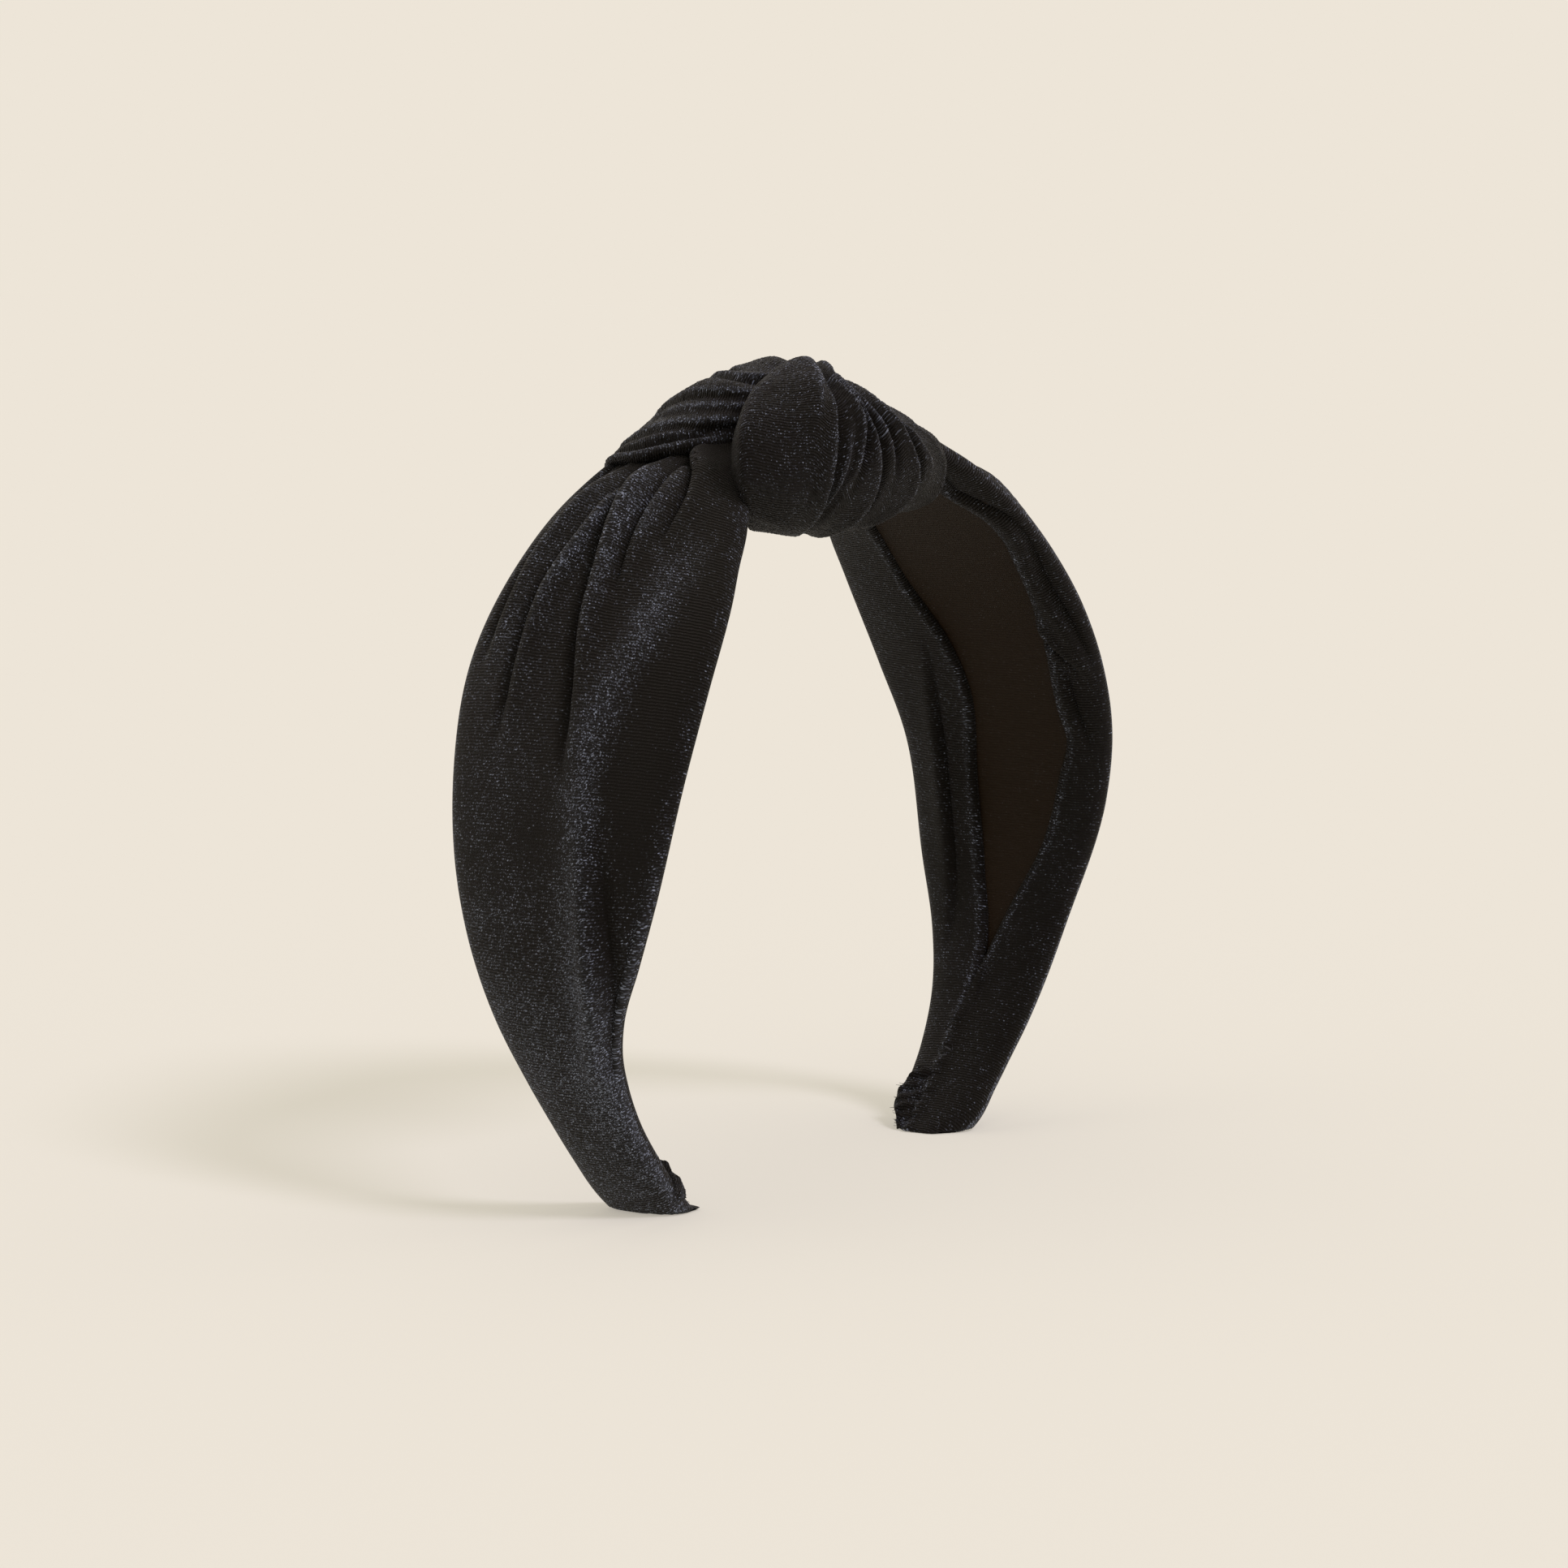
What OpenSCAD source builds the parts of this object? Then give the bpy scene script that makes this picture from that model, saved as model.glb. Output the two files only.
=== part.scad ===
// Knotted headband: a sprung plastic hoop, foam, lining and velvet cover, with a two-loop knot on top.
// Millimetres. +Z is up, the hoop lies in the XZ plane, and the two tips stand on Z = 0.

/* [Hoop] */
// Radius of the core's centre line over the crown
crown_r = 58; // [46:1:72]
// Radius of the core's centre line down the sides
side_r = 92; // [74:1:112]
// Radius of the core's centre line towards the tips
tip_r = 78; // [64:1:96]
// Angle from the top at which the crown arc meets the side arc
crown_a = 26; // [20:1:32]
// Angle from the top at which the side arc meets the tip arc
side_a = 92; // [84:1:100]
// Angle from the top at which the centre line reaches the floor
tip_a = 140; // [132:1:146]

/* [Band] */
// Width of the cover at the tips
tip_w = 19; // [15:1:24]
// Width of the cover where the wings are widest
wing_w = 57; // [46:1:70]
// Width of the cover over the crown
crown_w = 32; // [28:1:46]
// Place of the widest point, as a share of the way from tip to crown
wing_at = 0.58; // [0.45:0.01:0.7]

/* [Layers] */
// Thickness of the plastic core
core_t = 2; // [1.2:0.1:3]
// Thickness of the foam on the core's outer face
foam_t = 1.5; // [0.8:0.1:3]
// Thickness of the lining on the core's inner face
lining_t = 0.7; // [0.4:0.1:1.5]
// Thickness of the velvet cover
velvet_t = 1.2; // [0.6:0.1:2]
// Width of the rolled velvet along each edge of the core
edge_roll = 5.4; // [3:0.1:6]
// Width of the velvet turned over the inner face at each edge
hem_w = 14; // [11:1:17]
// Gap between one layer and the next
ply_gap = 0.05; // [0.03:0.01:0.15]

/* [Knot] */
// Length of the knot along the crown
knot_l = 52; // [42:1:62]
// Depth of the knot across the band, over both loops
knot_d = 60; // [54:1:70]
// Height of the knot over the core's centre line
knot_rise = 14; // [11:1:18]
// Drop of the knot's lower edge under the core's centre line at the top
knot_drop = 17; // [14:1:20]
// Radius of the fat end of a loop
loop_r = 8; // [6.5:0.5:9]
// Angle of the line where the two loops cross, seen from above
cross_a = 15; // [5:1:25]
// Gap between the loops and what they wrap
loop_gap = 0.3; // [0.2:0.05:0.5]

/* [Flex] */
// Angle from the top at which each arm bends
flex_a = 44; // [41:1:50]
// Gap in every layer where an arm bends
flex_gap = 1.6; // [1.4:0.1:2.4]

/* [Tips and thread] */
// Height of the folded velvet end that each arm stands on
fold_h = 5; // [4:0.5:8]
// Height of the raw tab of the folded end, on the arm's inner face
tab_h = 15; // [11:1:18]
// Width of the raw tab
tab_w = 9; // [6:0.5:12]
// Number of stitches that close the cover inside each arm
seam_count = 6; // [3:1:8]
// Diameter of the thread
thread_d = 0.8; // [0.4:0.1:1.2]
// Length of one stitch
stitch_l = 3.4; // [2.4:0.1:5]
// Number of stitches that tack each loop down
tack_count = 3; // [1:1:3]

/* [Hidden] */
$fn = 96;
far = 200;
velvet_colour = [0.09, 0.09, 0.12];
lining_colour = [0.05, 0.05, 0.06];
core_colour = [0.16, 0.16, 0.17];
foam_colour = [0.3, 0.3, 0.32];
thread_colour = [0.2, 0.2, 0.24];

// Layers as offsets from the core's centre line, plus outwards.
core_out = core_t / 2;
foam_in = core_out + ply_gap;
foam_out = foam_in + foam_t;
lining_out = -core_out - ply_gap;
lining_in = lining_out - lining_t;
cavity_out = foam_out + ply_gap;
cavity_in = lining_in - ply_gap;
cover_out = cavity_out + velvet_t;
cover_in = cavity_in - velvet_t;

// The centre line is three tangent arcs on each side: crown, side and tip.
end_a = tip_a + 9;
top_z = crown_r + (side_r - crown_r) * cos(crown_a) + (tip_r - side_r) * cos(side_a) - tip_r * cos(tip_a);
crown_c = [0, top_z - crown_r];
side_c = crown_c + (crown_r - side_r) * [sin(crown_a), cos(crown_a)];
tip_c = side_c + (side_r - tip_r) * [sin(side_a), cos(side_a)];

// Each arm bends about the centre line at this angle, and the layers stop half a gap short of it.
flex_half = flex_gap / 2 / side_r * 180 / PI;
crown_end = flex_a - flex_half;
arm_start = flex_a + flex_half;
arm_floor = fold_h + ply_gap;
layer_step = 3;
past = 1;

function arc_c(a) = a <= crown_a ? crown_c : a <= side_a ? side_c : tip_c;
function arc_r(a) = a <= crown_a ? crown_r : a <= side_a ? side_r : tip_r;
function on_half(a, n) = arc_c(a) + (arc_r(a) + n) * [sin(a), cos(a)];
function on_path(a, n = 0) = a < 0 ? [-on_half(-a, n)[0], on_half(-a, n)[1]] : on_half(a, n);
function turn(a, from, to) = max(0, min(a, to) - from) * PI / 180;
function along(a) = crown_r * turn(a, 0, crown_a) + side_r * turn(a, crown_a, side_a)
    + tip_r * turn(a, side_a, end_a);
function share(a) = max(0, 1 - along(a) / along(tip_a));
function wave(u) = (1 - cos(180 * u)) / 2;
function band_w(a) = share(a) < wing_at
    ? tip_w + (wing_w - tip_w) * wave(share(a) / wing_at)
    : crown_w + (wing_w - crown_w) * wave((1 - share(a)) / (1 - wing_at));

// A stretch of one layer seen along Y: offsets from the centre line, angles from the top.
module layer_side(in, out, from, to) {
    steps = ceil((to - from) / layer_step);
    angles = [for (i = [0 : steps]) from + (to - from) * i / steps];
    polygon(concat(
        [for (i = [0 : steps]) on_path(angles[i], out)],
        [for (i = [steps : -1 : 0]) on_path(angles[i], in)]
    ));
}

// The band seen along X, pulled in from both edges. It ends where the two edges would meet.
module layer_front(inset) {
    narrowest = 0.4;
    angles = [for (a = [0 : layer_step : end_a]) if (band_w(a) / 2 - inset > narrowest) a];
    last = len(angles) - 1;
    function half_w(i) = band_w(angles[i]) / 2 - inset;
    polygon(concat(
        [[half_w(0), far]],
        [for (i = [0 : last]) [half_w(i), on_path(angles[i])[1]]],
        [for (i = [last : -1 : 0]) [-half_w(i), on_path(angles[i])[1]]],
        [[-half_w(0), far]]
    ));
}

module along_y() {
    rotate([90, 0, 0])
        linear_extrude(far, center = true)
            children();
}

module along_x() {
    rotate([90, 0, 90])
        linear_extrude(2 * far, center = true)
            children();
}

module above(z) {
    intersection() {
        children();
        translate([-far, -far, z]) cube(2 * far);
    }
}

module layer(in, out, inset, from, to) {
    intersection() {
        along_y() layer_side(in, out, from, to);
        along_x() layer_front(inset);
    }
}

// Velvet round the outer face, rolled over both edges, with a hem along each side of the inner face.
module cover(from, to) {
    difference() {
        layer(cover_in, cover_out, 0, from, to);
        layer(cavity_in, cavity_out, edge_roll, from - past, to + past);
        layer(cover_in - past, cavity_in + ply_gap, hem_w, from - past, to + past);
    }
}

module core(from, to) {
    layer(-core_out, core_out, edge_roll + ply_gap, from, to);
}

module foam(from, to) {
    layer(foam_in, foam_out, edge_roll + ply_gap, from, to);
}

module lining(from, to) {
    layer(lining_in, lining_out, edge_roll + ply_gap, from, to);
}

// The folded velvet end: a solid foot that stands on Z = 0, and a raw tab up the inner face.
module tip_fold(side) {
    tab_out = cover_in - ply_gap;
    above(0) difference() {
        layer(cover_in, cover_out, 0, side_a, end_a);
        translate([-far, -far, fold_h]) cube(2 * far);
    }
    above(0) intersection() {
        union() {
            layer(tab_out - velvet_t, tab_out, 0, side_a, end_a);
            difference() {
                layer(tab_out - velvet_t, cover_in + velvet_t, 0, side_a, end_a);
                translate([-far, -far, fold_h]) cube(2 * far);
            }
        }
        translate([-far, side * (tip_w - tab_w) / 2 - tab_w / 2, 0]) cube([2 * far, tab_w, tab_h]);
    }
}

// Short slanted stitches along the line where the two hems meet, above the tab.
module seam_stitches() {
    degrees_per_mm = 180 / PI / tip_r;
    pitch = 3;
    slant = 20;
    first_a = tip_a - (tab_h + 6) * degrees_per_mm;
    for (i = [0 : seam_count - 1])
        stitch(first_a - i * pitch * degrees_per_mm, i % 2 == 0 ? slant : -slant);
}

module stitch(a, slant) {
    place = on_path(a, cover_in - thread_d / 2 - 2 * ply_gap);
    translate([place[0], 0, place[1]])
        rotate([0, a + 90, 0])
            rotate([90 + slant, 0, 0])
                thread();
}

module thread() {
    cylinder(d = thread_d, h = stitch_l, center = true, $fn = 16);
}

// One loop of the knot: fat over the top, fanned out over the band's edge and rolled under it.
module loop() {
    edge_r = loop_r * 0.8;
    top_y = -loop_r;
    front_y = -knot_d / 2 + edge_r;
    top = top_z + knot_rise - loop_r;
    low = top_z - knot_drop + edge_r;
    difference() {
        intersection() {
            hull() {
                loop_end([-knot_l * 0.24, top_y, top], loop_r);
                loop_end([knot_l * 0.14, top_y / 2, top - loop_r * 0.2], loop_r);
                loop_end([-knot_l * 0.06, front_y - 0.5 * edge_r + loop_r, low + 1.3 * edge_r], loop_r * 1.3);
                loop_end([knot_l * 0.44, 0, low + 1.4 * edge_r], edge_r);
                loop_end([knot_l / 2 - edge_r, front_y + 0.5 * edge_r, low + 0.8 * edge_r], edge_r);
                loop_end([-knot_l * 0.76, front_y, low - 0.2 * edge_r], edge_r);
                loop_end([knot_l * 0.1, front_y, low], edge_r);
            }
            along_y() crown_sector();
            rotate([0, 0, cross_a]) translate([-far, -2 * far - loop_gap / 2, 0]) cube(2 * far);
        }
        layer(cover_in - loop_gap, cover_out + loop_gap, -loop_gap, -arm_start, arm_start);
    }
}

module loop_end(place, radius) {
    translate(place) sphere(r = radius, $fn = 32);
}

// The wedge between the two bends, which the knot keeps to.
module crown_sector() {
    side = side_c + far * [sin(crown_end), cos(crown_end)];
    polygon([side_c, side, [-side[0], side[1]], [-side_c[0], side_c[1]]]);
}

// Stitches that tack one loop's end to the hem underneath it.
module tacks() {
    tack_x = knot_l / 2 - 2 * thread_d;
    tack_z = on_path(asin(tack_x / crown_r), cover_in)[1] - 2 * thread_d;
    for (i = [0 : tack_count - 1])
        translate([tack_x, -crown_w / 2 + 2 + 2 * i * thread_d, tack_z])
            rotate([0, 90, 0])
                thread();
}

module core_crown() color(core_colour) core(-crown_end, crown_end);
module foam_crown() color(foam_colour) foam(-crown_end, crown_end);
module lining_crown() color(lining_colour) lining(-crown_end, crown_end);
module cover_crown() color(velvet_colour) cover(-crown_end, crown_end);
module knot_front_loop() color(velvet_colour) loop();
module knot_rear_loop() color(velvet_colour) rotate([0, 0, 180]) loop();

module knot_tack_stitches() color(thread_colour) {
    tacks();
    rotate([0, 0, 180]) tacks();
}

module core_right_arm() color(core_colour) above(arm_floor) core(arm_start, end_a);
module foam_right_arm() color(foam_colour) above(arm_floor) foam(arm_start, end_a);
module lining_right_arm() color(lining_colour) above(arm_floor) lining(arm_start, end_a);
module cover_right_wing() color(velvet_colour) above(arm_floor) cover(arm_start, end_a);
module tip_fold_right() color(velvet_colour) tip_fold(1);
module seam_stitches_right() color(thread_colour) seam_stitches();

module core_left_arm() mirror([1, 0, 0]) core_right_arm();
module foam_left_arm() mirror([1, 0, 0]) foam_right_arm();
module lining_left_arm() mirror([1, 0, 0]) lining_right_arm();
module cover_left_wing() mirror([1, 0, 0]) cover_right_wing();
module tip_fold_left() color(velvet_colour) mirror([1, 0, 0]) tip_fold(-1);
module seam_stitches_left() mirror([1, 0, 0]) seam_stitches_right();

core_crown();
foam_crown();
lining_crown();
cover_crown();
knot_front_loop();
knot_rear_loop();
knot_tack_stitches();
core_left_arm();
foam_left_arm();
lining_left_arm();
cover_left_wing();
tip_fold_left();
seam_stitches_left();
core_right_arm();
foam_right_arm();
lining_right_arm();
cover_right_wing();
tip_fold_right();
seam_stitches_right();
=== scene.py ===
"""Knotted velvet headband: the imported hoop, with its velvet wings, knot, hems, lining and tips."""

import math

import bpy
import numpy as np
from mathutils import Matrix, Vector


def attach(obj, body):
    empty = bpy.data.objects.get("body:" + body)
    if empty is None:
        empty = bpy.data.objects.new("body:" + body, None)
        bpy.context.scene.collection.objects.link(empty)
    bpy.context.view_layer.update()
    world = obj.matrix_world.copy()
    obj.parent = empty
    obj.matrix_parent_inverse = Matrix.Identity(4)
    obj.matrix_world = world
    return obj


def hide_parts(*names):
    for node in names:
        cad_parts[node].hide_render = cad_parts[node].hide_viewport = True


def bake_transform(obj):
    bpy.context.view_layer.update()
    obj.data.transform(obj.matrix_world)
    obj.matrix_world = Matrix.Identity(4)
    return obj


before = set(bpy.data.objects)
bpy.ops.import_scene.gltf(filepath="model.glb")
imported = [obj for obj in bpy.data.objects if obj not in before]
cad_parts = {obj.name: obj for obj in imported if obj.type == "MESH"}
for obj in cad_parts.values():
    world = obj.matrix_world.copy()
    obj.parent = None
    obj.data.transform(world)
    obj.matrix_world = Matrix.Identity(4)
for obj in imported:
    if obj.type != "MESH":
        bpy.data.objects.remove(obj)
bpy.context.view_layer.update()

# ---------------------------------------------------------------- sizes, in millimetres

MM = 0.001
CROWN_R, SIDE_R, TIP_R = 58.0, 92.0, 78.0
CROWN_A, SIDE_A, TIP_A = np.radians([26.0, 92.0, 140.0])
WING_START, WING_END = 6.0, 201.5
VELVET_T = 0.8          # cloth thickness
CROWN_N, HEM_N = 3.7, 2.7   # how far the wing's outer and inner faces lie from the hoop's centre line
PLEAT_VALLEY = 1.1      # how deep the valley beside a pleat is, against the rim's height
KNOT_DIP = 1.7          # how much lower the wing lies under the knot
EDGE_POWER = 0.87       # below 1, an edge is fuller than half an ellipse
FLOOR_GAP = 0.02        # keeps the tips just clear of the floor
HEM_COUNT, OUTER_COUNT, LENGTH_COUNT = 36, 124, 250     # points across a hem, across the face, and along
SIDE_WORD = {-1: "left", 1: "right"}

# ---------------------------------------------------------------- curves and the hoop

def ease(x, knots, values):
    """A smooth curve through (knots, values), flat past both ends."""
    knots, values = np.asarray(knots, float), np.asarray(values, float)
    x = np.clip(x, knots[0], knots[-1])
    slope = np.gradient(values, knots)
    i = np.clip(np.searchsorted(knots, x, side="right") - 1, 0, len(knots) - 2)
    h = knots[i + 1] - knots[i]
    t = (x - knots[i]) / h
    return (values[i] * (1 + 2 * t) * (1 - t) ** 2 + slope[i] * h * t * (1 - t) ** 2
            + values[i + 1] * t * t * (3 - 2 * t) - slope[i + 1] * h * t * t * (1 - t))


def step(x, low, high):
    """0 below low, 1 above high, smooth between."""
    t = np.clip((x - low) / (high - low), 0, 1)
    return t * t * (3 - 2 * t)


def fade(x, low, high):
    """1 below low, 0 above high, smooth between."""
    return step(-x, -high, -low)


def bump(x, width):
    """1 at x = 0, falling to nothing on both sides."""
    return np.exp(-(x / width) ** 2)


def lip(d, gentle, steep):
    """The profile of a fold's rim: it falls away steeply where d > 0 and gently where d < 0."""
    return np.where(d > 0, bump(d, steep), 1 / (1 + (d / gentle) ** 2))


def hoop(s, n, y, side):
    """The point s along the hoop from its top, n outside its centre line, y across. side: 1 is right."""
    s, n, y = np.broadcast_arrays(*(np.asarray(a, float) for a in (s, n, y)))
    top = (CROWN_R + (SIDE_R - CROWN_R) * math.cos(CROWN_A) + (TIP_R - SIDE_R) * math.cos(SIDE_A)
           - TIP_R * math.cos(TIP_A))
    crown_z = top - CROWN_R
    side_x = (CROWN_R - SIDE_R) * math.sin(CROWN_A)
    side_z = crown_z + (CROWN_R - SIDE_R) * math.cos(CROWN_A)
    tip_x = side_x + (SIDE_R - TIP_R) * math.sin(SIDE_A)
    tip_z = side_z + (SIDE_R - TIP_R) * math.cos(SIDE_A)
    side_s = CROWN_R * CROWN_A
    tip_s = side_s + SIDE_R * (SIDE_A - CROWN_A)
    arc = np.where(s < side_s, 0, np.where(s < tip_s, 1, 2))
    angle = np.choose(arc, [s / CROWN_R, CROWN_A + (s - side_s) / SIDE_R, SIDE_A + (s - tip_s) / TIP_R])
    radius = np.choose(arc, [CROWN_R, SIDE_R, TIP_R]) + n
    x = np.choose(arc, [0.0, side_x, tip_x]) + radius * np.sin(angle)
    z = np.choose(arc, [crown_z, side_z, tip_z]) + radius * np.cos(angle)
    return np.stack([side * x, y, z], -1)


def along_rows(grid):
    """Distance along each row of a grid of points."""
    return np.concatenate([np.zeros(grid.shape[:1] + (1,)),
                           np.cumsum(np.linalg.norm(np.diff(grid, axis=1), axis=2), axis=1)], axis=1)


def even_rows(grid, count):
    """Each row of the grid again, as count points evenly spaced along it."""
    at = along_rows(grid)
    out = np.empty((len(grid), count, grid.shape[2]))
    for i, (row, d) in enumerate(zip(grid, at)):
        where = np.linspace(0, d[-1], count)
        for k in range(grid.shape[2]):
            out[i, :, k] = np.interp(where, d, row[:, k])
    return out


def catmull_at(points, t):
    """A smooth curve through the points, at the places t, counted in points."""
    ends = np.concatenate([2 * points[:1] - points[1:2], points, 2 * points[-1:] - points[-2:-1]])
    i = np.clip(t.astype(int), 0, len(points) - 2)
    f = (t - i).reshape((-1,) + (1,) * (points.ndim - 1))
    a, b, c, d = (ends[i + k] for k in range(4))
    return 0.5 * (2 * b + (c - a) * f + (2 * a - 5 * b + 4 * c - d) * f ** 2
                  + (3 * b - a - 3 * c + d) * f ** 3)


def catmull(points, count):
    """A smooth curve through the points, along their first axis."""
    points = np.asarray(points, float)
    return catmull_at(points, np.linspace(0, len(points) - 1, count))


def grid_normals(grid):
    """Unit normals at the points of a grid."""
    du = np.gradient(grid, axis=0)
    dv = np.gradient(grid, axis=1)
    n = np.cross(du, dv)
    return n / np.maximum(np.linalg.norm(n, axis=2, keepdims=True), 1e-9)


# ---------------------------------------------------------------- meshes

def new_piece(name, verts, faces, cloth=None, painted_light=None):
    """A mesh from points in millimetres. cloth: their places on the flat cloth. The last argument is the
    painted light in its colour: high gives a painted highlight, low gives painted shade.
    """
    mesh = bpy.data.meshes.new(name)
    mesh.from_pydata((np.asarray(verts) * MM).tolist(), [], [list(map(int, f)) for f in faces])
    mesh.polygons.foreach_set("use_smooth", [True] * len(mesh.polygons))
    if cloth is not None:
        flat = mesh.attributes.new("cloth", "FLOAT_VECTOR", "POINT")
        flat.data.foreach_set("vector", (np.asarray(cloth) * MM).astype(np.float32).ravel())
    if painted_light is not None:
        painted_light_layer = mesh.attributes.new("painted_light", "FLOAT", "POINT")
        painted_light_layer.data.foreach_set("value", np.asarray(painted_light).astype(np.float32).ravel())
    mesh.validate()
    obj = bpy.data.objects.new(name, mesh)
    bpy.context.scene.collection.objects.link(obj)
    return obj


def quads(rows, cols, start, flip):
    """The faces of one grid whose first point is number start."""
    i, j = np.meshgrid(np.arange(rows - 1), np.arange(cols - 1), indexing="ij")
    a = start + i * cols + j
    q = np.stack([a, a + 1, a + cols + 1, a + cols], -1).reshape(-1, 4)
    return q[:, ::-1] if flip else q


def walls(rows, cols, flip):
    """The faces that join the rims of two grids, the second straight after the first."""
    count = rows * cols
    rim = np.concatenate([np.arange(cols), cols - 1 + cols * np.arange(1, rows),
                          count - 1 - np.arange(1, cols), cols * np.arange(rows - 2, 0, -1)])
    back = np.roll(rim, -1)
    edge = np.stack([rim, rim + count, back + count, back], -1)
    return edge[:, ::-1] if flip else edge


def cloth_sheet(name, grid, cloth, painted_light, thick, outward, floor=None):
    """A closed sheet of cloth: grid is its outer face, and its inner face lies thick inside it."""
    rows, cols = grid.shape[:2]
    inner = grid - outward * grid_normals(grid) * thick
    rough = np.random.default_rng(7).normal(0, 0.05, (rows, cols, 1))
    grid = grid + outward * grid_normals(grid) * rough
    verts = np.concatenate([grid.reshape(-1, 3), inner.reshape(-1, 3)])
    if floor is not None:
        low = np.repeat([floor, floor + 0.6 * thick], rows * cols)
        verts[:, 2] = np.maximum(verts[:, 2], low)
    flat = np.concatenate([cloth.reshape(-1, 3)] * 2)
    faces = np.concatenate([quads(rows, cols, 0, outward > 0), quads(rows, cols, rows * cols, outward < 0),
                            walls(rows, cols, outward > 0)])
    return new_piece(name, verts, faces, flat, np.concatenate([painted_light.ravel()] * 2))


# ---------------------------------------------------------------- materials

def node(tree, kind, **values):
    """A new shader node, with the values of its inputs and settings."""
    made = tree.nodes.new(kind)
    for key, value in values.items():
        if key in made.inputs:
            made.inputs[key].default_value = value
        else:
            setattr(made, key, value)
    return made


def feed(tree, sockets, values):
    """Gives each socket its value: a number, a colour, or another node's output."""
    for socket, value in zip(sockets, values):
        if isinstance(value, (int, float)):
            socket.default_value = value
        elif isinstance(value, tuple):
            socket.default_value = (*value, 1)
        else:
            tree.links.new(value, socket)


def math_node(tree, kind, *values):
    made = node(tree, "ShaderNodeMath", operation=kind)
    feed(tree, made.inputs, values)
    return made.outputs[0]


def ramp(tree, value, low, high, out_low=0.0, out_high=1.0):
    made = node(tree, "ShaderNodeMapRange", interpolation_type="SMOOTHSTEP")
    feed(tree, made.inputs, (value, low, high, out_low, out_high))
    return made.outputs[0]


def noise(tree, place, scale, detail, rough=0.5):
    made = node(tree, "ShaderNodeTexNoise", Scale=scale, Detail=detail, Roughness=rough)
    tree.links.new(place, made.inputs["Vector"])
    return made.outputs["Fac"]


def mix(tree, factor, first, second):
    made = node(tree, "ShaderNodeMix", data_type="RGBA")
    feed(tree, (made.inputs[0], made.inputs[6], made.inputs[7]), (factor, first, second))
    return made.outputs[2]


def relief(tree, bsdf, height, strength, depth):
    """Bumps the surface by height, in metres of depth."""
    made = node(tree, "ShaderNodeBump", Strength=strength, Distance=depth)
    tree.links.new(height, made.inputs["Height"])
    tree.links.new(made.outputs["Normal"], bsdf.inputs["Normal"])


def new_material(name, **values):
    """A material with one Principled shader, and that shader's values."""
    mat = bpy.data.materials.new(name)
    mat.use_nodes = True
    bsdf = mat.node_tree.nodes["Principled BSDF"]
    for key, value in values.items():
        feed(mat.node_tree, [bsdf.inputs[key.replace("_", " ")]], [value])
    return mat, mat.node_tree, bsdf


RIB_PITCH = 0.0006      # metres between the knit's ribs
GRAINS = 5200.0         # fibre ends in a metre


def painted_glints(tree, flat, tone_and_painted_light):
    """Painted glints: fibre ends a fifth of a millimetre across, more of them painted bright where the tone and
    the painted light are higher.
    """
    grains = node(tree, "ShaderNodeTexVoronoi", Scale=GRAINS)
    tree.links.new(flat, grains.inputs["Vector"])
    tone = node(tree, "ShaderNodeSeparateColor")
    tree.links.new(grains.outputs["Color"], tone.inputs[0])
    needed = ramp(tree, tone_and_painted_light, -0.1, 1.0, 0.99, 0.35)
    above = math_node(tree, "MAXIMUM", math_node(tree, "SUBTRACT", tone.outputs[0], needed), 0.0)
    sharp = math_node(tree, "MINIMUM", math_node(tree, "MULTIPLY", above, 3.5), 1.0)
    return math_node(tree, "MULTIPLY", sharp, math_node(tree, "POWER", tone.outputs[1], 2.2))


def velvet(name, dark, lit, painted_glint_colour, sheen, tint, rib_depth):
    """Short cut pile on a ribbed knit, near black, with painted light in its colour: where the painted light is
    high it turns to the painted sheen colour lit and gets painted glints; where it is low it stays dark as
    painted shade.
    """
    mat, tree, bsdf = new_material(name, Roughness=0.55, Specular_IOR_Level=0.12, Sheen_Weight=sheen,
                                   Sheen_Roughness=0.28, Sheen_Tint=tint)
    flat = node(tree, "ShaderNodeAttribute", attribute_name="cloth").outputs["Vector"]
    painted_light_layer = node(tree, "ShaderNodeAttribute", attribute_name="painted_light").outputs["Fac"]
    split = node(tree, "ShaderNodeSeparateXYZ")
    tree.links.new(flat, split.inputs[0])

    # Ribs across the strip, wavering a little.
    sway = math_node(tree, "MULTIPLY", noise(tree, flat, 500.0, 2.0), 5.0)
    phase = math_node(tree, "MULTIPLY_ADD", split.outputs["X"], 2 * math.pi / RIB_PITCH, sway)
    rib = math_node(tree, "SINE", phase)

    # Tone that varies at random in patches and is lighter on the tops of the ribs, added to the mesh's painted
    # light.
    patch = ramp(tree, noise(tree, flat, 90.0, 5.0, 0.65), 0.3, 0.7, -0.09, 0.09)
    tone_and_painted_light = math_node(tree, "ADD", math_node(tree, "MULTIPLY_ADD", rib, 0.13, patch), painted_light_layer)

    # Painted sheen: the colour goes from dark to the lit colour as the painted light rises, and stays dark as
    # painted shade where it is low.
    body = mix(tree, ramp(tree, tone_and_painted_light, 0.15, 1.05), dark, lit)
    # Painted glints: bright specks of the glint colour mixed into the colour.
    tree.links.new(mix(tree, painted_glints(tree, flat, tone_and_painted_light), body, painted_glint_colour), bsdf.inputs["Base Color"])
    height = math_node(tree, "MULTIPLY_ADD", noise(tree, flat, 3600.0, 3.0, 0.7), 2.2, rib)
    relief(tree, bsdf, height, 1.0, rib_depth)
    return mat


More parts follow.
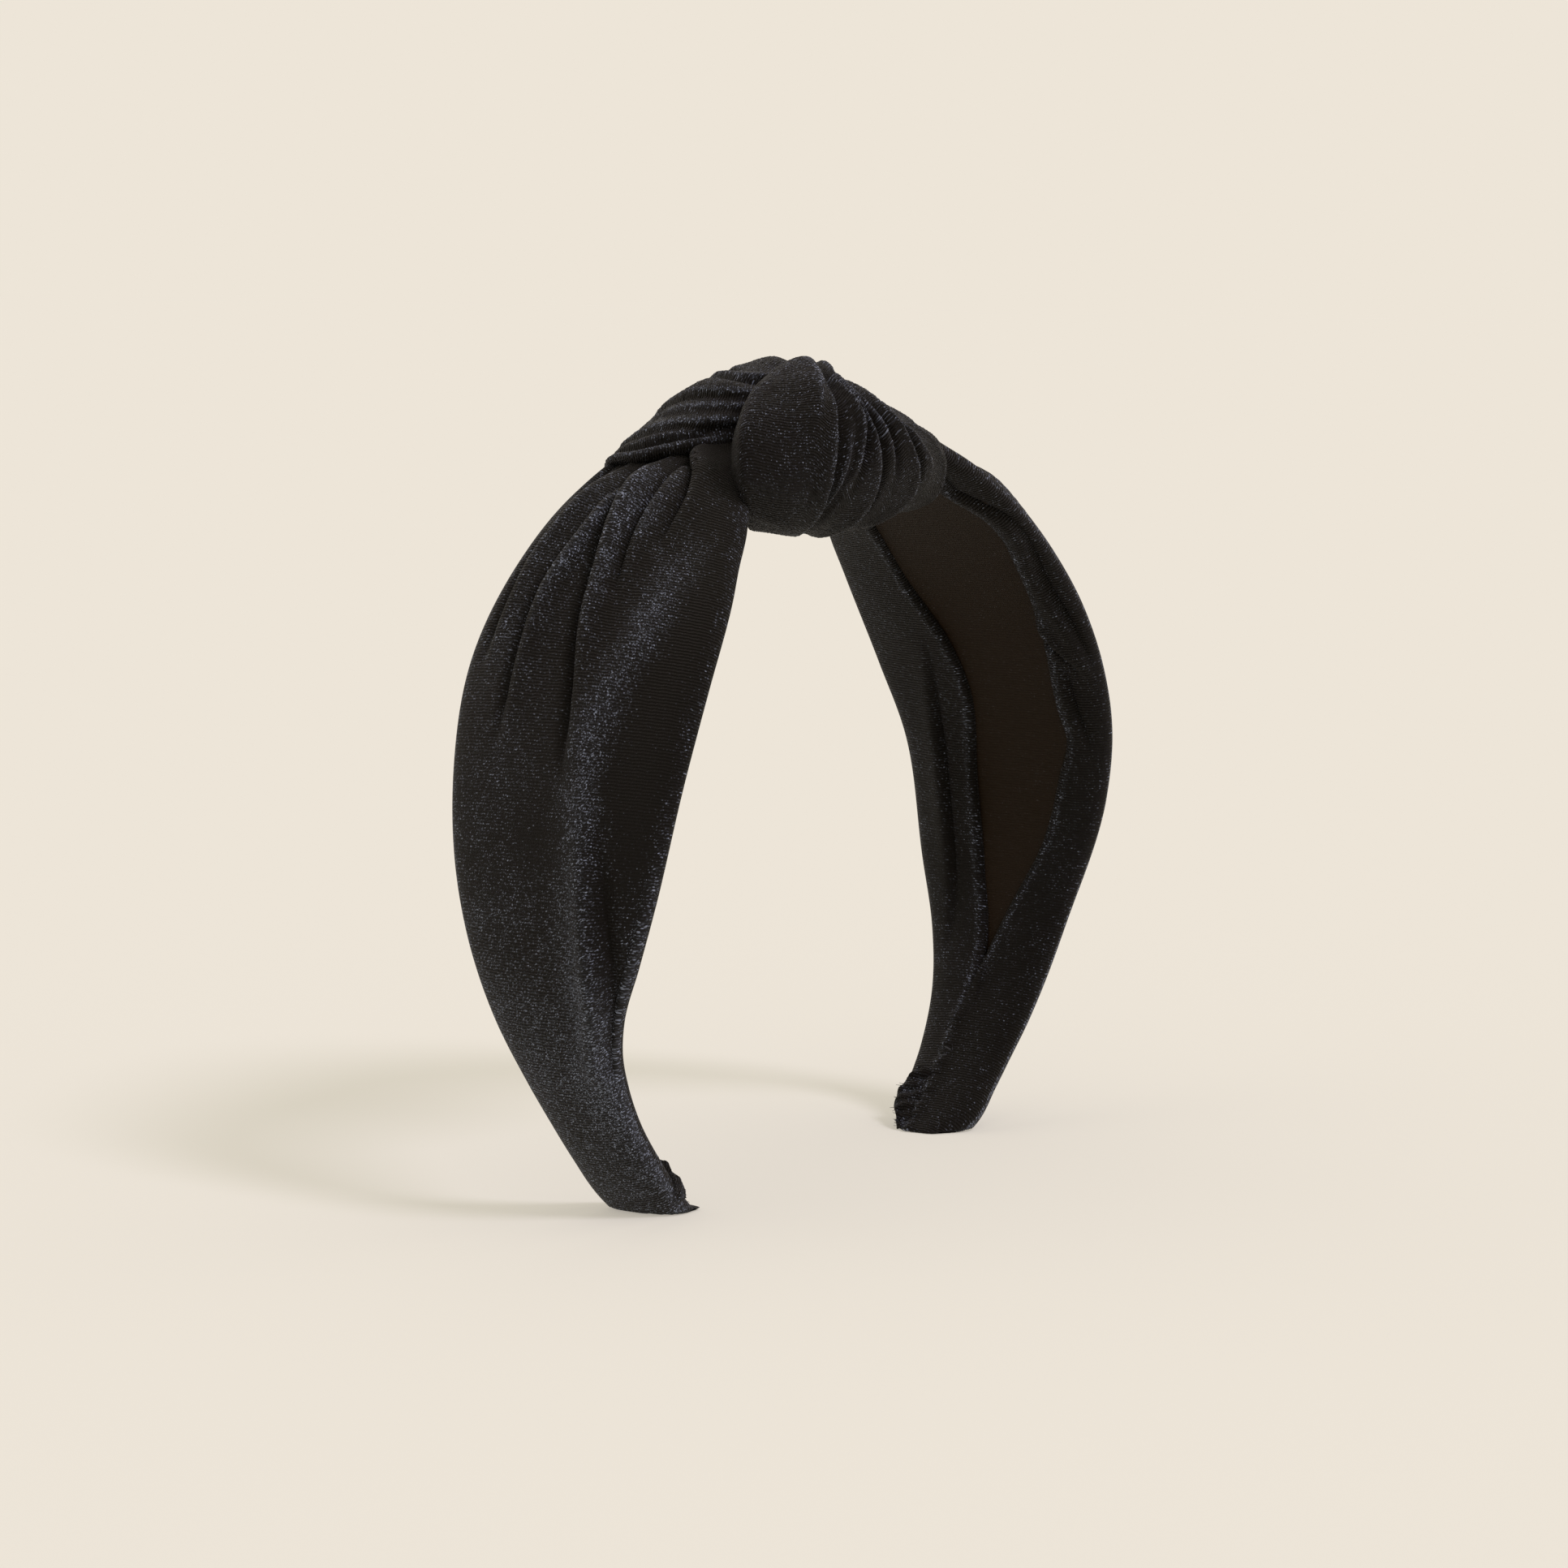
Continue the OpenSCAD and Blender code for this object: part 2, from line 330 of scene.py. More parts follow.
def plain(name, colour, roughness, grain, depth):
    """Plastic, foam or thread: one colour with a fine grain."""
    mat, tree, bsdf = new_material(name, Roughness=roughness)
    place = node(tree, "ShaderNodeTexCoord").outputs["Object"]
    speck = noise(tree, place, grain, 3.0)
    shades = [tuple(min(1, c * gain) for c in colour) for gain in (0.7, 1.3)]
    tree.links.new(mix(tree, speck, *shades), bsdf.inputs["Base Color"])
    relief(tree, bsdf, speck, 0.6, depth)
    return mat


# Each velvet's second colour is its painted sheen and its third is the colour of its painted glints.
VELVET = velvet("velvet_pile", (0.0042, 0.0028, 0.0014), (0.0150, 0.0150, 0.0170), (0.30, 0.34, 0.44), 0.05,
                (0.90, 0.85, 0.85), 0.00016)
LINING = velvet("velvet_lining", (0.0135, 0.0072, 0.0026), (0.0150, 0.0095, 0.0050), (0.10, 0.10, 0.11),
                0.01, (0.9, 0.85, 0.8), 0.00008)
PLASTIC = plain("moulded_plastic", (0.012, 0.012, 0.013), 0.42, 900.0, 0.00004)
FOAM = plain("foam_sheet", (0.03, 0.03, 0.033), 0.9, 1500.0, 0.0002)
THREAD = plain("sewing_thread", (0.020, 0.021, 0.027), 0.6, 3000.0, 0.00008)


def dress(obj, material):
    """Gives a piece its material."""
    obj.data.materials.clear()
    obj.data.materials.append(material)
    return obj


# ---------------------------------------------------------------- wings

def fold(s, y, line, rise, gentle, steep, side=1, valley=0.8):
    """A soft fold along line, [(s, y), ...], with its steep side towards side and a valley beyond it."""
    ls, ly = zip(*line)
    d = (y - ease(s, ls, ly)) * side
    return ease(s, *rise) * (lip(d, gentle, steep) - valley * bump(d - 1.9 * steep, steep * 1.1))


def folded_edge(edge, hem, depth):
    """The inner face of one side, (y, n) from the band's edge to its hem, which curls onto the lining."""
    turn = np.linspace(0, math.pi / 2, 50)
    y, n = edge * np.cos(turn) ** EDGE_POWER, -depth * np.sin(turn) ** EDGE_POWER
    if hem > 0:
        n_hem = np.interp(hem, y[::-1], n[::-1])
        y, n = np.append(y[y > hem + 0.05], hem), np.append(n[y > hem + 0.05], n_hem)
    else:
        y, n = np.append(y, hem), np.append(n, -depth)
    curl = np.linspace(0.2, 1, 6) * math.pi / 2
    y = np.append(y, hem - VELVET_T * np.sin(curl))
    n = np.append(n, n[-1] + VELVET_T * (1 - np.cos(curl)))
    return np.stack([y, n], -1)


def section(front, rear, hem_front, hem_rear, crown, depth):
    """Cross-sections from the front hem, round the front edge, over the outside and on to the rear hem."""
    turn = np.linspace(0, math.pi, 300)
    c = -np.cos(turn)
    across, up = np.sign(c) * np.abs(c) ** EDGE_POWER, np.sin(turn) ** EDGE_POWER
    rows = []
    for f, r, hf, hr, top in zip(front, rear, hem_front, hem_rear, crown):
        outer = np.stack([across * np.where(across < 0, f, r), up * top], -1)[1:-1]
        near, far = folded_edge(f, hf, depth) * (-1, 1), folded_edge(r, hr, depth)
        parts = zip((near[::-1], outer, far), (HEM_COUNT, OUTER_COUNT, HEM_COUNT))
        rows.append(np.concatenate([even_rows(part[None], count)[0] for part, count in parts]))
    return np.array(rows)


def wing(name, side, shape, outer_folds, inner_folds, outer_painted_light):
    """One velvet wing: its section swept along the arm, with folds on its outer and inner faces."""
    s = np.linspace(WING_START, WING_END, LENGTH_COUNT)
    keys = ("front", "rear", "hem_front", "hem_rear")
    front, rear, hem_front, hem_rear = (ease(s, *zip(*shape[key])) for key in keys)
    rounding = 1 - np.clip((s - 193) / 9.5, 0, 1) ** 2.6
    crown = CROWN_N * (0.25 + 0.75 * rounding)
    grid = section(front, rear, hem_front, hem_rear, crown, HEM_N)
    y, n = grid[..., 0], grid[..., 1]
    ss = s[:, None] + 0 * y
    rel = np.where(y < 0, -y / front[:, None], y / rear[:, None])
    outer = np.zeros_like(y)
    outer[:, HEM_COUNT:-HEM_COUNT] = 1
    edge = 1 - step(rel, 0.92, 1.0)
    n = n + outer * edge * outer_folds(ss, y, rel) - (1 - outer) * edge * inner_folds(ss, y, rel)
    # Painted light on the inner faces: painted shade over most of them, a painted highlight towards one edge,
    # and a painted highlight along each hem's rolled edge.
    inner_painted_light = 0.16 + 0.14 * step(rel, 0.55, 1.0) * step(side * y, -2, 2)
    painted_light = np.where(outer > 0, outer_painted_light(ss, y, rel), inner_painted_light)
    hem_gap = np.where(y < 0, -y - hem_front[:, None], y - hem_rear[:, None])
    painted_light = painted_light + (1 - outer) * 0.3 * bump(hem_gap - 0.3, 0.7)
    points = hoop(ss, n, y, side)
    cloth = np.stack([ss, along_rows(np.stack([y, n], -1)), 0 * ss], -1)
    return cloth_sheet(name, points, cloth, painted_light, VELVET_T, -side, FLOOR_GAP)


# The four pleats that run down from the knot: each one's line, height along the arm, and two widths.
PLEATS = [
    ([(20, 11), (38, 14.7), (52, 17.8), (61, 20.1), (76, 21.4)],
     ([20, 34, 44, 62, 86], [0.2, 0.9, 2.4, 2.0, 0]), 3.2, 1.0),
    ([(20, 5), (38, 7), (56, 9.5), (68, 12.8), (82, 13.2), (96, 12.5)],
     ([20, 34, 44, 68, 100], [0.2, 0.9, 3.0, 2.7, 0]), 3.4, 1.1),
    ([(20, 3.5), (37, 4.5), (52, 3.8), (65, 1.9), (76, 0.3), (88, -2.6), (104, -5)],
     ([20, 34, 44, 70, 106], [0.2, 0.9, 3.3, 3.1, 0]), 4.2, 1.2),
    ([(20, 0), (35, -2), (45, -3), (58, -3.3), (70, -5)],
     ([20, 34, 42, 52, 72], [0.2, 1.0, 2.4, 2.1, 0]), 3.6, 1.0),
]


def pleats(s, y, sign, spread):
    """The height of all four pleats. spread moves their ends along the arm."""
    folds = [fold(s / spread, sign * y, *pleat, 1, PLEAT_VALLEY) for pleat in PLEATS]
    return sum(folds[1:], folds[0]) - KNOT_DIP * fade(s, 34, 50)


def pleat_painted_light(height):
    """Painted highlight along each pleat's rim and painted shade in the valley beside it."""
    return 0.34 * step(height, 1.4, 3.4) - 0.22 * fade(height, -1.2, 0.6)


def flank(s):
    """Where the left wing's front flank turns under, and how far."""
    line = ease(s, [108, 124, 136, 145, 157], [-9.5, -11.7, -12.4, -11.8, -9.4])
    return line, ease(s, [110, 124, 142, 157], [0, 1.6, 2.8, 2.5]) * fade(s, 157, 163)


def left_outer(s, y, rel):
    """Pleats, the pucker beside the knot, the broad ridge, and the flank that turns under near the tip."""
    n = pleats(s, y, 1, 1.0)
    n += 1.2 * bump(s - 38, 6) * bump(y + 8, 4.5)
    n += fold(s, y, [(30, 0.5), (36, -3), (40, -6.5), (46, -9), (56, -9.5)],
              ([28, 33, 47, 60], [1.2, 2.2, 1.8, 0]), 4.0, 0.9, 1, PLEAT_VALLEY)
    ridge = ease(s, [58, 78, 95, 122, 150], [-15, -12, -8, -9.5, -14])
    n += 1.0 * bump(y - ridge, 5.0) * step(s, 56, 80) * fade(s, 140, 158)
    line, depth = flank(s)
    n += 0.5 * depth * bump(y - line - 1.4, 2.2)
    n -= depth * (0.5 * step(line - y, -0.5, 1.8) + 0.55 * bump(line - y - 1.8, 1.8))
    return n


def left_painted_light(s, y, rel):
    """Painted light: painted highlight on the rear half, the ridge, the lower wing, the edges and the pleats'
    rims; painted shade on the flank before the ridge, beside the flank's turn and in the valleys.
    """
    ridge = ease(s, [45, 66, 78, 95, 122, 145, 200], [-14, -14.5, -12.5, -8, -8.8, -9, -6])
    painted_light = 0.17 + 0.16 * step(y, -6, 20)
    painted_light += 0.36 * bump(y - ridge, 5.0) * step(s, 48, 74) * fade(s, 160, 190)
    painted_light += 0.30 * step(s, 112, 160) + 0.25 * step(rel, 0.90, 1.0)
    painted_light -= 0.15 * step(ridge - y, 3, 8) * fade(s, 105, 125)
    line, depth = flank(s)
    painted_light -= 0.17 * np.minimum(depth, 1.8) * bump(line - y - 1.5, 1.8)
    painted_light += pleat_painted_light(pleats(s, y, 1, 1.0)) * fade(s, 60, 110)
    return np.clip(painted_light, 0, 1)


def right_outer(s, y, rel):
    """The right wing's pleats are the left wing's turned half round, and a little longer."""
    n = pleats(s, y, -1, 1.06)
    n += 2.0 * bump(s - 35, 6) * bump(y - 7, 5)
    ridge = ease(s, [58, 85, 120, 150], [14, 10, 9, 12])
    n += 0.7 * bump(y - ridge, 6) * step(s, 56, 80) * fade(s, 140, 165)
    return n


def right_painted_light(s, y, rel):
    """Painted light as on the left wing, turned half round: painted highlight on the front half, the ridge, the
    lower wing, the edges and the pleats' rims, and painted shade in the valleys.
    """
    ridge = ease(s, [60, 90, 122, 200], [14, 9, 9, 6])
    painted_light = 0.2 + 0.2 * fade(y, -20, 6) + 0.3 * bump(y - ridge, 6) * step(s, 48, 74)
    painted_light += 0.3 * step(s, 120, 175) + 0.2 * step(rel, 0.88, 1.0)
    painted_light += pleat_painted_light(pleats(s, y, -1, 1.06)) * fade(s, 60, 110)
    return np.clip(painted_light, 0, 1)


def inner_folds(s, y, rel):
    """On the right arm: the hems' creases and rolls. The left arm's are the same, turned half round."""
    n = 0.8 * fold(s, y, [(90, 14), (100, 15), (119, 14.4), (150, 11.5)],
                   ([84, 100, 135, 158], [0, 1, 1, 0]), 3.0, 1.0, -1)
    n += 1.0 * fold(s, y, [(40, -12), (52, -19.5), (70, -20.5), (86, -24), (96, -26)],
                    ([30, 44, 84, 98], [0.8, 1, 1, 0]), 2.5, 0.9, -1)
    n += 0.9 * fold(s, y, [(78, -16), (84, -18.5), (92, -25)],
                    ([76, 82, 88, 94], [0, 1, 1, 0]), 2.0, 0.8, 1)
    n += 0.7 * fold(s, y, [(92, -19), (100, -19.5), (110, -22)],
                    ([90, 95, 104, 110], [0, 1, 1, 0]), 2.0, 0.8, -1)
    seam = bump(y - 3.2, 1.6) * step(s, 166, 172)
    n += seam * (0.35 + 0.45 * np.sin(s * 1.9) * np.sin(s * 0.83 + 1))
    n += 0.25 * np.sin(s / 6.0 + np.where(y > 0, 0, 2)) * fade(rel, 0.6, 0.95) * fade(s, 160, 175)
    return n


# Along each arm, as (s, distance from the middle): the band's two edges and the edges of its two hems.
LEFT = {
    "front": [(20, 6), (34, 13), (44, 17.2), (51, 20.4), (58, 22.6), (67, 25.2), (85, 27.1),
              (105, 26.2), (125, 22.7), (138, 18.2), (149, 13.2), (157, 11), (164, 10.3), (172, 10),
              (184, 10.4), (202, 9.5)],
    "rear": [(20, 19), (58, 25.5), (85, 27.4), (103, 25.5), (127, 21.5), (150, 15.3), (163, 10.9),
             (172, 8.5), (180, 7.2), (191, 6.2), (202, 2)],
    "hem_front": [(20, 15), (55, 15.2), (72, 13.8), (88, 8.1), (98, 6.3), (117, 7.1), (136, 5.7),
                  (159, 2.2), (170, 3.3), (202, 3.3)],
    "hem_rear": [(20, 11), (42, 12.6), (53, 17.2), (67, 18.4), (102, 18), (108, 19), (117, 16.2),
                 (131, 11.8), (146, 4.9), (159, 0.2), (170, -2.9), (202, -2.9)],
}
RIGHT = {
    "front": [(20, 15.5), (29, 16.6), (36, 18.8), (45, 21.2), (56, 23.1), (64, 24.3), (78, 26.2),
              (92, 27), (107, 26.4), (121, 23.7), (148, 15), (162, 12), (170, 10.5), (177, 9.2),
              (184, 8.4), (193, 7.8), (202, 3)],
    "rear": [(20, 6), (34, 13), (44, 20.5), (58, 27), (72, 28.7), (94, 27.1), (109, 23.7), (137, 20),
             (151, 15.8), (165, 12.4), (178, 10.8), (190, 9.6), (202, 5)],
    "hem_front": LEFT["hem_rear"],
    "hem_rear": LEFT["hem_front"],
}


def across_flex(obj):
    """Bakes a piece's transform into its mesh."""
    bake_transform(obj)


def left_inner(s, y, rel):
    return inner_folds(s, -y, rel)


left_wing = wing("left_wing_velvet", -1, LEFT, left_outer, left_inner, left_painted_light)
right_wing = wing("right_wing_velvet", 1, RIGHT, right_outer, inner_folds, right_painted_light)
for obj, side in ((left_wing, -1), (right_wing, 1)):
    dress(obj, VELVET)
    across_flex(obj)
    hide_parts(*(["cover_left_wing"] if side < 0 else ["cover_right_wing", "cover_crown"]))

# ---------------------------------------------------------------- knot

# The loops' skins, as lines of points (x, y, z) along the pleats, from one side of the loop to the other.
FRONT_CAGE = [
    [(-14, -2, 144), (-18, -2, 145), (-23, -3, 143.5), (-27, -4, 141), (-29, -4.5, 139),
     (-29, -5, 137.5), (-28, -5, 136), (-26, -4.5, 135), (-23, -3, 134.5), (-20, -1, 135)],
    [(-15, -3, 149), (-21, -5, 151), (-28, -7, 149.5), (-33, -9, 146), (-35, -10, 142.5),
     (-35, -10, 139.5), (-33, -9.5, 136), (-29.5, -8, 133.5), (-25.5, -5.5, 132.5), (-21, -2, 134)],
    [(-16, -4, 152), (-22, -9, 155), (-31, -12, 154), (-38, -14, 150), (-41, -15.5, 145),
     (-41, -15.5, 140), (-38, -14.5, 135), (-33, -12, 131.5), (-27, -8, 131), (-22, -2, 134)],
    [(-14, -6, 156), (-23, -13, 159.3), (-32, -15.5, 157.5), (-37, -17, 155), (-41, -18.4, 152),
     (-43.5, -19.2, 148.5), (-44.2, -19.7, 144), (-43.6, -19.5, 139.5), (-41, -18.2, 135.3),
     (-37, -15.7, 132), (-30, -11, 129.3), (-22, -4, 132)],
    [(-12, -7, 157), (-19, -14, 160), (-24.5, -20, 158), (-28.5, -23.5, 154.5), (-32, -25, 150.5),
     (-34, -25.5, 146), (-34.5, -25.5, 141.5), (-34, -24.5, 137), (-32.5, -22, 133), (-30, -18.5, 130),
     (-25, -12, 128.8), (-18, -4, 132)],
    [(-10, -8, 158), (-17, -16, 159.2), (-22, -21.5, 156.6), (-25, -26, 153), (-26.8, -27.8, 148.8),
     (-27.4, -28.1, 144.6), (-27.6, -27.6, 141), (-27.2, -26.3, 137.2), (-26, -23.5, 133.4),
     (-24.5, -19.3, 130.2), (-20, -13, 128.6), (-14, -4, 132)],
    [(-7, -8, 158), (-15, -17, 158.4), (-19.2, -22, 155.8), (-20, -26.5, 152.7), (-20, -28.8, 149.2),
     (-20.8, -29.4, 145), (-21.2, -29, 141), (-22, -27.3, 137), (-22.3, -24, 133), (-21, -19.5, 130),
     (-17, -13, 128.6), (-11, -4, 132)],
    [(-5, -8, 157.6), (-13, -17, 157.5), (-16.8, -23, 155.2), (-17.8, -27.3, 151.9),
     (-17.3, -29.3, 148.2), (-16.5, -30.1, 144.6), (-15.5, -29.9, 141.2), (-14.4, -28.4, 137),
     (-14, -25.6, 133), (-14, -21, 129.9), (-12, -13, 128.8), (-7, -4, 132.5)],
    [(-3, -8, 157), (-10.5, -17, 156.6), (-14.4, -23.4, 154.4), (-15.2, -27.6, 151.5),
     (-13.8, -29.8, 148.1), (-12, -30.6, 143.5), (-10.5, -30, 139.6), (-9.2, -28, 135.6),
     (-8.8, -24.6, 132), (-9.5, -20, 129.6), (-8, -13, 129.2), (-3, -4, 133)],
    [(0, -8, 156), (-6.2, -17, 155), (-10, -24, 153.3), (-11, -28, 150.9), (-9, -30.2, 148),
     (-6.5, -31, 144.2), (-4.2, -30.8, 140.9), (-2.2, -29.2, 137), (-2.4, -26, 133.2), (-5, -21, 130.3),
     (-4, -13, 129.8), (1, -4, 133.5)],
    [(4, -8, 154.6), (-1.2, -17, 153.2), (-5.8, -25, 151.2), (-7.8, -29, 149.2), (-4.8, -30.5, 146.7),
     (-2, -30.9, 144), (1.5, -30.3, 141), (5, -28, 137.4), (5.8, -25, 134.2), (3.4, -20.5, 131.3),
     (4, -13, 130.8), (6, -4, 134)],
    [(9, -8, 152.8), (6, -16, 151), (2, -23.4, 149.2), (0.5, -27, 147.4), (4, -28.3, 145),
     (8.4, -27.4, 142), (12.6, -25.2, 139), (15, -23, 136), (13.6, -20.5, 133), (11, -13, 131.6),
     (12, -4, 134.5)],
    [(14, -8, 150.5), (14, -14, 149.2), (13.5, -19.5, 147.2), (16, -21.6, 145), (20, -21, 142),
     (23.4, -19.4, 139), (24.8, -17.6, 136), (22.6, -15.5, 133.6), (18.5, -12, 132.8), (17, -4, 135)],
    [(17, -7, 148), (19, -11, 146.5), (20.5, -14.5, 145), (22.5, -15.5, 143), (24.5, -15.2, 140.5),
     (25.6, -14, 138), (25.2, -12.5, 136), (22.5, -10.5, 135.5), (19, -4, 137)],
]
REAR_CAGE = [
    [(-16, -8, 140), (-22, -4, 141.5), (-26, 0, 141), (-28, 6, 140.2), (-29, 12, 139.6),
     (-27.5, 17, 138.5), (-25, 19.5, 136.5), (-22.5, 20, 134.5), (-19.5, 17.5, 133), (-16, 8, 134)],
    [(-18, -9, 143), (-27, -4, 144), (-32, 0, 143.6), (-33, 6, 142.6), (-33.5, 12, 141.2),
     (-31, 19, 140.4), (-27, 23, 138), (-24, 23.5, 134), (-20, 20, 131.5), (-17, 8, 134)],
    [(-18, -9, 146), (-27.5, -4, 146.2), (-33, 0, 145.4), (-34.6, 6, 144.2), (-35.3, 12, 142.8),
     (-33, 19, 142), (-28.5, 24.5, 139.5), (-25.5, 26, 134.5), (-21, 22.5, 130.2), (-16, 8, 132)],
    [(-18, -9, 148.4), (-27.5, -5, 148.2), (-31, 0, 147.9), (-32.5, 6, 147), (-33.5, 12, 145.5),
     (-31.5, 18.5, 144.2), (-28, 24.5, 141), (-24, 27.5, 135.5), (-19, 24, 129.8), (-13, 8, 131.5)],
    [(-18, -9, 150.6), (-27, -5, 150), (-30, 0, 149.6), (-30.6, 6, 149.2), (-30.2, 12, 148),
     (-27.5, 19, 145.8), (-23.5, 25.5, 142.4), (-19.5, 29, 136), (-15, 25, 129.6), (-10, 8, 131.5)],
    [(-16, -9, 153.6), (-23.5, -6, 153.8), (-25.5, -1, 153.8), (-25.6, 5, 153.5), (-24.5, 11, 152.3),
     (-21, 18.5, 149.8), (-16.5, 25.5, 145.4), (-13, 29, 138), (-9.5, 26, 130), (-6, 8, 131.5)],
    [(-14, -9, 155), (-20.5, -5, 155.8), (-22.6, 0, 156.7), (-20.8, 6, 157), (-17.5, 12, 155.6),
     (-12.6, 19, 152.8), (-7.6, 25.5, 147.8), (-4, 29.4, 140), (-2, 26.5, 131), (0, 8, 131.5)],
    [(-9, -8, 156.6), (-13.5, -5, 157.8), (-15.8, 0, 157.8), (-13, 6, 157.7), (-8, 12.5, 156.6),
     (-2, 19.5, 153.8), (4, 26, 148.6), (7.5, 29.4, 141), (8.5, 26, 131.4), (8, 8, 131.5)],
    [(-3, -7, 157), (-7.5, -3, 160.2), (-7.2, 0.6, 161.2), (-3, 7, 160.3), (4, 14.5, 158.2),
     (11, 21.5, 154.2), (16.4, 27.2, 148), (19, 29, 140), (18, 25, 131.6), (15, 7, 132)],
    [(3, -5, 155), (1, 0, 159.2), (2, 5, 159.6), (8, 12, 159), (16, 18, 156.8), (24, 23.5, 151.6),
     (29, 26.6, 144.4), (30, 25.5, 136.5), (27, 19, 130.5), (20, 6, 133)],
    [(10, -2, 152), (9, 3, 157.6), (13, 9, 159.2), (21, 14, 157.2), (30, 18, 153), (38, 21, 147.5),
     (42, 22, 141), (40, 20, 134), (34, 15, 129.6), (24, 4, 133)],
    [(14, -1, 149), (15, 4, 153.5), (21, 9, 155.5), (29, 13, 153.5), (37, 16, 149.5), (42.6, 18, 145),
     (44.4, 18.5, 140), (42, 17, 134.5), (36, 13.5, 131), (25, 3, 135)],
    [(14, -1, 146.5), (15.5, 2, 149.5), (21, 6, 150.5), (28, 9, 148.5), (34, 11, 145),
     (37.5, 12.5, 141), (38, 12.5, 137.5), (36, 12, 134), (31.5, 9.5, 132), (24, 2, 134.5)],
    [(13, -1, 143.5), (16, 1, 145), (21, 3, 144.5), (26, 4.5, 142), (30, 5.5, 139.5), (32, 6, 138),
     (32, 6, 136.5), (30, 5.5, 135), (27, 4.5, 134.5), (22, 1, 135)],
]
# Each rim of a loop: its place among the cage's lines, height, gentle and steep widths, the steep side, and
# where along the lines it starts and ends.
FRONT_RIMS = [
    (4.3, 0.9, 3.5, 1.0, 1, 0.12, 0.38), (5.0, 1.3, 4.5, 0.8, 1, 0.1, 0.84),
    (5.5, 0.8, 1.6, 0.7, 1, 0.42, 0.74), (6.0, 1.4, 2.4, 0.8, 1, 0.05, 0.56),
    (7.0, 1.6, 2.8, 0.8, 1, 0.05, 0.92), (8.0, 1.4, 2.2, 0.8, 1, 0.05, 0.54),
    (9.0, 1.6, 3.0, 0.8, 1, 0.05, 0.92), (10.0, 1.4, 2.6, 0.8, 1, 0.05, 0.6),
    (11.2, 1.4, 3.0, 0.8, 1, 0.05, 0.92), (12.2, 0.9, 3.0, 0.8, 1, 0.05, 0.9),
]
REAR_RIMS = [
    (2.2, 1.1, 1.8, 0.9, 1, 0.08, 0.62), (3.1, 0.45, 1.6, 0.9, -1, 0.08, 0.4),
    (4.0, 0.6, 2.2, 0.9, -1, 0.08, 0.6), (4.7, 0.45, 2.2, 0.9, -1, 0.05, 0.38),
    (5.4, 0.7, 2.6, 0.9, -1, 0.05, 0.85), (6.7, 1.3, 3.0, 1.0, -1, 0.02, 0.35),
    (7.4, 0.9, 3.2, 1.0, -1, 0.2, 0.9), (8.2, 1.2, 2.6, 0.9, -1, 0.3, 0.92),
    (9.0, 1.2, 2.8, 0.8, -1, 0.3, 0.8), (9.8, 1.3, 3.2, 0.9, -1, 0.2, 0.9),
    (10.4, 0.8, 3.4, 0.9, -1, 0.3, 0.7),
]


def loop_skin(cage, rows, cols):
    """A smooth skin through a cage of pleat lines, and the place of each of its rows among them."""
    ribs = np.stack([even_rows(catmull(rib, 300)[None], 120)[0] for rib in cage])
    skin = catmull(ribs, 6 * rows)
    spread = along_rows(skin.transpose(1, 0, 2))[20:100].mean(0)
    index = np.interp(np.linspace(0, spread[-1], rows), spread, np.linspace(0, len(cage) - 1, 6 * rows))
    return even_rows(catmull_at(ribs, index), cols), index


def loop_grid(cage, rims, rows=200, cols=240):
    """A loop's skin, with a rim and a valley along each pleat, its place on the cloth and its painted light: a
    painted highlight along each rim and painted shade in each valley.
    """
    skin, index = loop_skin(cage, rows, cols)
    across = along_rows(skin.transpose(1, 0, 2)).T
    v = np.linspace(0, 1, cols)[None]
    lift, painted_light = np.zeros((rows, cols)), np.full((rows, cols), 0.20)
    for place, rise, gentle, steep, side, begin, end in rims:
        rim = np.array([np.interp(place, index, across[:, j]) for j in range(cols)])[None]
        d = (across - rim) * side
        here = step(v, begin - 0.06, begin + 0.08) * fade(v, end - 0.1, end + 0.05)
        lift += rise * here * (lip(d, gentle, steep) - 0.9 * bump(d - 1.9 * steep, steep * 1.2))
        # Painted highlight on the rim, painted shade in the valley beside it.
        painted_light += here * (0.45 * bump(d - 0.1, 0.7) - 0.16 * bump(d - 2 * steep, steep * 1.3))
    normal = grid_normals(skin)
    outward = 1 if ((skin - skin.reshape(-1, 3).mean(0)) * normal).sum() > 0 else -1
    skin = skin + outward * normal * lift[..., None]
    cloth = np.stack([along_rows(skin), across, 0 * across], -1)
    return skin, cloth, painted_light, outward


def loop(name, cad, cage, rims, lit):
    """One loop of the knot. lit is how much painted light from above its upward-facing parts get in their
    colour.
    """
    skin, cloth, painted_light, outward = loop_grid(cage, rims)
    # Painted light from above: parts facing up get a lighter colour.
    up = np.clip(outward * grid_normals(skin)[..., 2], 0, 1)
    obj = cloth_sheet(name, skin, cloth, np.clip(painted_light + lit * up ** 1.5, 0, 1), VELVET_T, outward)
    dress(obj, VELVET)
    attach(obj, "crown")
    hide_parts(cad)
    return obj


front_loop = loop("knot_front_loop_velvet", "knot_front_loop", FRONT_CAGE, FRONT_RIMS, 0.15)
rear_loop = loop("knot_rear_loop_velvet", "knot_rear_loop", REAR_CAGE, REAR_RIMS, 0.18)

# ---------------------------------------------------------------- lining and foam

